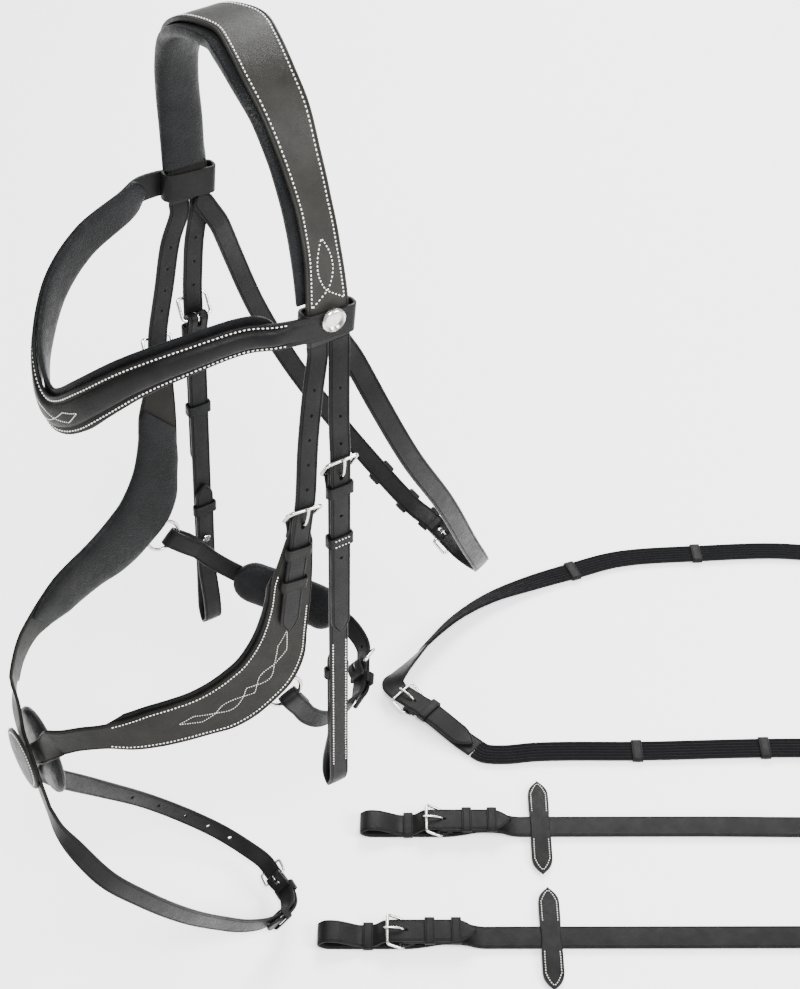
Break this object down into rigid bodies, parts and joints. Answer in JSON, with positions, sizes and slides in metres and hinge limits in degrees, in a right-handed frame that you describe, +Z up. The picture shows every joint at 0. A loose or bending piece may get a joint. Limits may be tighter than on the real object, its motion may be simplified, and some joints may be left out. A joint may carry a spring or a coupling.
{
  "type": "mexican bridle",
  "caption": "Mexican bridle: padded crown and V browband, crossed crescent noseband with a nose patch, throatlash, buckled cheekpieces, and a pair of web reins laid beside it.",
  "frame": {"origin": "the middle of the crown's underside, where the poll carries the bridle", "axes": "+Z up, the horse faces -Y, +X is the horse's left side"},
  "size_m": [0.5695, 0.8816, 0.7787],
  "materials": {
    "strap_leather": "black bridle leather straps, waxed, with a fine grain",
    "face_leather": "dark grey-black smooth leather with off-white stitching",
    "lining_leather": "soft black pebbled leather padding",
    "rein_web": "black ribbed web",
    "nickel": "bright nickel-plated wire and badge"
  },
  "bodies": {
    "headpiece": {"browband_badge": "nickel", "browband_leather": "strap_leather", "browband_lining": "lining_leather", "centre_billet": "strap_leather", "centre_buckle": "nickel", "centre_chape": "strap_leather", "crown_leather": "face_leather", "crown_padding": "lining_leather", "first_rein": "strap_leather", "first_rein_buckle": "nickel", "first_rein_web": "rein_web", "left_crescent": "face_leather", "left_crescent_lining": "lining_leather", "left_noseband_billet": "strap_leather", "left_noseband_buckle": "nickel", "patch_leather": "face_leather", "patch_padding": "lining_leather", "right_crescent": "face_leather", "right_crescent_lining": "lining_leather", "right_noseband_billet": "strap_leather", "right_noseband_buckle": "nickel", "second_rein": "strap_leather", "second_rein_buckle": "nickel", "second_rein_web": "rein_web"},
    "left_cheek": {"left_cheek_billet": "strap_leather", "left_cheekpiece": "strap_leather", "left_cheek_buckle": "nickel", "left_hook_stud": "nickel"},
    "left_cheek_tongue": {"left_cheek_tongue": "nickel"},
    "left_cheek_runner": {"left_cheek_runner": "strap_leather"},
    "left_noseband_tongue": {"left_noseband_tongue": "nickel"},
    "left_ring": {"left_ring": "nickel"},
    "right_cheek": {"right_cheek_billet": "strap_leather", "right_cheekpiece": "strap_leather", "right_cheek_buckle": "nickel", "right_hook_stud": "nickel"},
    "right_cheek_tongue": {"right_cheek_tongue": "nickel"},
    "right_cheek_runner": {"right_cheek_runner": "strap_leather"},
    "right_noseband_tongue": {"right_noseband_tongue": "nickel"},
    "right_ring": {"right_ring": "nickel"},
    "throatlash": {"throatlash_billet": "strap_leather", "throatlash_strap": "strap_leather", "throatlash_buckle": "nickel"},
    "throatlash_tongue": {"throatlash_tongue": "nickel"},
    "jowl": {"jowl_strap": "strap_leather", "jowl_billet": "strap_leather", "jowl_buckle": "nickel", "chin_pad": "lining_leather"},
    "jowl_tongue": {"jowl_tongue": "nickel"},
    "lower": {"lower_strap": "strap_leather", "lower_billet": "strap_leather", "lower_buckle": "nickel"},
    "lower_tongue": {"lower_tongue": "nickel"},
    "lower_keeper": {"lower_keeper": "strap_leather"},
    "first_rein_tongue": {"first_rein_tongue": "nickel"},
    "first_rein_stop": {"first_rein_stop": "strap_leather"},
    "second_rein_tongue": {"second_rein_tongue": "nickel"},
    "second_rein_stop": {"second_rein_stop": "strap_leather"},
    "centre_tongue": {"centre_tongue": "nickel"}
  },
  "joints": [
    {"name": "left_cheek_swing", "type": "hinge", "parent": "headpiece", "child": "left_cheek", "pos_m": [0.082, 0.003, -0.144], "axis": [0, -1, 0], "range_deg": [0, 40]},
    {"name": "left_cheek_tongue_lift", "type": "hinge", "parent": "left_cheek", "child": "left_cheek_tongue", "pos_m": [0.08609, -0.00424, -0.23536], "axis": [0, 0.9993, -0.0383], "range_deg": [0, 18]},
    {"name": "left_runner_slide", "type": "slide", "parent": "left_cheek", "child": "left_cheek_runner", "axis": [0.0226, -0.0383, -0.999], "range_m": [-0.027, 0.07]},
    {"name": "left_noseband_tongue_lift", "type": "hinge", "parent": "headpiece", "child": "left_noseband_tongue", "pos_m": [0.08779, -0.03186, -0.25906], "axis": [0.0032, 0.9898, -0.1426], "range_deg": [0, 18]},
    {"name": "left_ring_turn", "type": "hinge", "parent": "headpiece", "child": "left_ring", "pos_m": [0.08444, -0.04682, -0.408], "axis": [0.9985, -0.0545, 0], "continuous": true},
    {"name": "right_cheek_swing", "type": "hinge", "parent": "headpiece", "child": "right_cheek", "pos_m": [-0.082, 0.003, -0.144], "axis": [0, 1, 0], "range_deg": [0, 40]},
    {"name": "right_cheek_tongue_lift", "type": "hinge", "parent": "right_cheek", "child": "right_cheek_tongue", "pos_m": [-0.08609, -0.00424, -0.23536], "axis": [0, -0.9993, 0.0383], "range_deg": [0, 18]},
    {"name": "right_runner_slide", "type": "slide", "parent": "right_cheek", "child": "right_cheek_runner", "axis": [-0.0226, -0.0383, -0.999], "range_m": [-0.054, 0.043]},
    {"name": "right_noseband_tongue_lift", "type": "hinge", "parent": "headpiece", "child": "right_noseband_tongue", "pos_m": [-0.08779, -0.03186, -0.25906], "axis": [0.0032, -0.9898, 0.1426], "range_deg": [0, 18]},
    {"name": "right_ring_turn", "type": "hinge", "parent": "headpiece", "child": "right_ring", "pos_m": [-0.08444, -0.04682, -0.408], "axis": [-0.9985, -0.0545, 0], "continuous": true},
    {"name": "throatlash_swing", "type": "hinge", "parent": "headpiece", "child": "throatlash", "pos_m": [0, 0.004, -0.146], "axis": [1, 0, 0], "range_deg": [0, 35]},
    {"name": "throatlash_tongue_lift", "type": "hinge", "parent": "throatlash", "child": "throatlash_tongue", "pos_m": [-0.01875, 0.14488, -0.45154], "axis": [-0.0743, 0.892, 0.446], "range_deg": [0, 18]},
    {"name": "jowl_swing", "type": "hinge", "parent": "headpiece", "child": "jowl", "pos_m": [0, -0.04682, -0.408], "axis": [1, 0, 0], "range_deg": [0, 25]},
    {"name": "jowl_tongue_lift", "type": "hinge", "parent": "jowl", "child": "jowl_tongue", "pos_m": [0.04542, 0.03117, -0.4685], "axis": [-0.3985, -0.4847, -0.7786], "range_deg": [0, 18]},
    {"name": "lower_swing", "type": "hinge", "parent": "headpiece", "child": "lower", "pos_m": [0, -0.188, -0.501], "axis": [1, 0, 0], "range_deg": [0, 25]},
    {"name": "lower_tongue_lift", "type": "hinge", "parent": "lower", "child": "lower_tongue", "pos_m": [-0.00489, -0.02014, -0.74094], "axis": [-0.0279, -0.8482, -0.5289], "range_deg": [0, 18]},
    {"name": "lower_keeper_slide", "type": "slide", "parent": "lower", "child": "lower_keeper", "axis": [0.4196, -0.7814, 0.462], "range_m": [-0.003, 0.003]},
    {"name": "first_rein_tongue_lift", "type": "hinge", "parent": "headpiece", "child": "first_rein_tongue", "pos_m": [0.01247, 0.12846, -0.75625], "axis": [-0.8434, 0.5373, 0], "range_deg": [0, 18]},
    {"name": "second_rein_tongue_lift", "type": "hinge", "parent": "headpiece", "child": "second_rein_tongue", "pos_m": [0.08584, 0.04355, -0.75625], "axis": [-0.8434, 0.5373, 0], "range_deg": [0, 18]},
    {"name": "centre_tongue_lift", "type": "hinge", "parent": "headpiece", "child": "centre_tongue", "pos_m": [-0.109, 0.17869, -0.75625], "axis": [-0.2918, 0.9565, 0], "range_deg": [0, 18]},
    {"name": "first_stop_slide", "type": "slide", "parent": "headpiece", "child": "first_rein_stop", "axis": [0.5373, 0.8434, 0], "range_m": [0, 0.175]},
    {"name": "second_stop_slide", "type": "slide", "parent": "headpiece", "child": "second_rein_stop", "axis": [0.5373, 0.8434, 0], "range_m": [-0.02, 0.25]}
  ]
}
